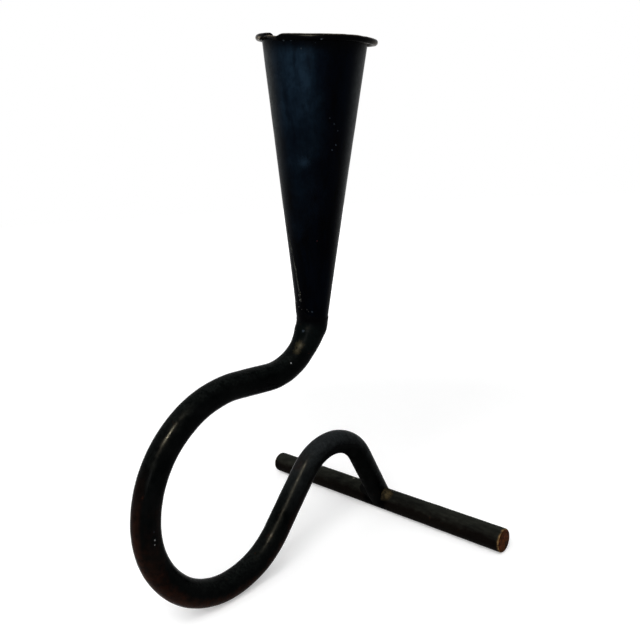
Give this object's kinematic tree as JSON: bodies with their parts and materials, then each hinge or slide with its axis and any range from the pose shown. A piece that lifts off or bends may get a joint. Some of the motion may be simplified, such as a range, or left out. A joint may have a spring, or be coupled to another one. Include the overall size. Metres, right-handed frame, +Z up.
{
  "type": "candlestick",
  "caption": "Candlestick: a long cone cup for a candle on a round rod, bent into a loop and a hump, that stands on a straight foot bar.",
  "frame": {"origin": "on the surface the candlestick stands on, straight below the joint of the rod and the foot bar", "axes": "+Z up; the rod is bent in the XZ plane with its loop towards -X; the foot bar lies along Y, with its near end at -Y"},
  "size_m": [0.1341, 0.136, 0.2075],
  "materials": {
    "cup_paint": "worn satin black with a blue cast",
    "rod_paint": "worn satin black, brownish where it is rubbed",
    "bar_paint": "worn satin black with rust at the cut ends",
    "filler": "rough satin black over braze",
    "weld": "rough, brownish over weld"
  },
  "bodies": {
    "root": {"cone_cup": "cup_paint", "cup_seam_braze": "filler", "neck_braze": "filler", "bent_rod": "rod_paint", "foot_bar": "bar_paint", "foot_weld_near": "weld", "foot_weld_far": "weld"}
  },
  "joints": []
}
